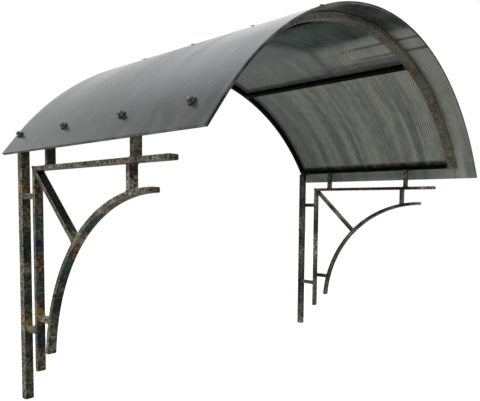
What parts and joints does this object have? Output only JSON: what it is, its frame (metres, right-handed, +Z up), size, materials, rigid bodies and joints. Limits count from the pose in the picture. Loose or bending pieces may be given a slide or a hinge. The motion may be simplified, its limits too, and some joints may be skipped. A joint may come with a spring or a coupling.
{
  "type": "door canopy",
  "caption": "Arched door canopy: two wall brackets of flat steel tube carry a barrel-vault frame with one bent twin-wall sheet over it.",
  "frame": {"origin": "on the wall plane, on the back face of the rear rib at its crest, halfway up the tube", "axes": "+X right along the wall as seen from in front, -Y out from the wall, +Z up"},
  "size_m": [1.7282, 1.05, 1.3627],
  "materials": {
    "patina_steel": "dark olive-bronze hammered paint with an antique patina",
    "twin_wall_sheet": "grey tinted translucent twin-wall polycarbonate",
    "tube_cap": "plastic tube cap painted over with the frame"
  },
  "bodies": {
    "root": {"roof_sheet": "twin_wall_sheet", "rear_rib": "patina_steel", "front_rib": "patina_steel", "left_eave_rail": "patina_steel", "right_eave_rail": "patina_steel", "left_purlin": "patina_steel", "right_purlin": "patina_steel", "left_post": "patina_steel", "left_upright": "patina_steel", "left_arm": "patina_steel", "left_arc_brace": "patina_steel", "left_diagonal": "patina_steel", "left_drop_strut": "patina_steel", "left_front_strut": "patina_steel", "left_rear_strut": "patina_steel", "left_upper_stub": "patina_steel", "left_lower_stub": "patina_steel", "left_arc_stub": "patina_steel", "right_post": "patina_steel", "right_upright": "patina_steel", "right_arm": "patina_steel", "right_arc_brace": "patina_steel", "right_diagonal": "patina_steel", "right_drop_strut": "patina_steel", "right_front_strut": "patina_steel", "right_rear_strut": "patina_steel", "right_upper_stub": "patina_steel", "right_lower_stub": "patina_steel", "right_arc_stub": "patina_steel", "left_post_cap": "tube_cap", "left_upright_cap": "tube_cap", "left_arm_cap": "tube_cap", "left_arc_foot_cap": "tube_cap", "left_arc_head_cap": "tube_cap", "right_post_cap": "tube_cap", "right_upright_cap": "tube_cap", "right_arm_cap": "tube_cap", "right_arc_foot_cap": "tube_cap", "right_arc_head_cap": "tube_cap"}
  },
  "joints": []
}
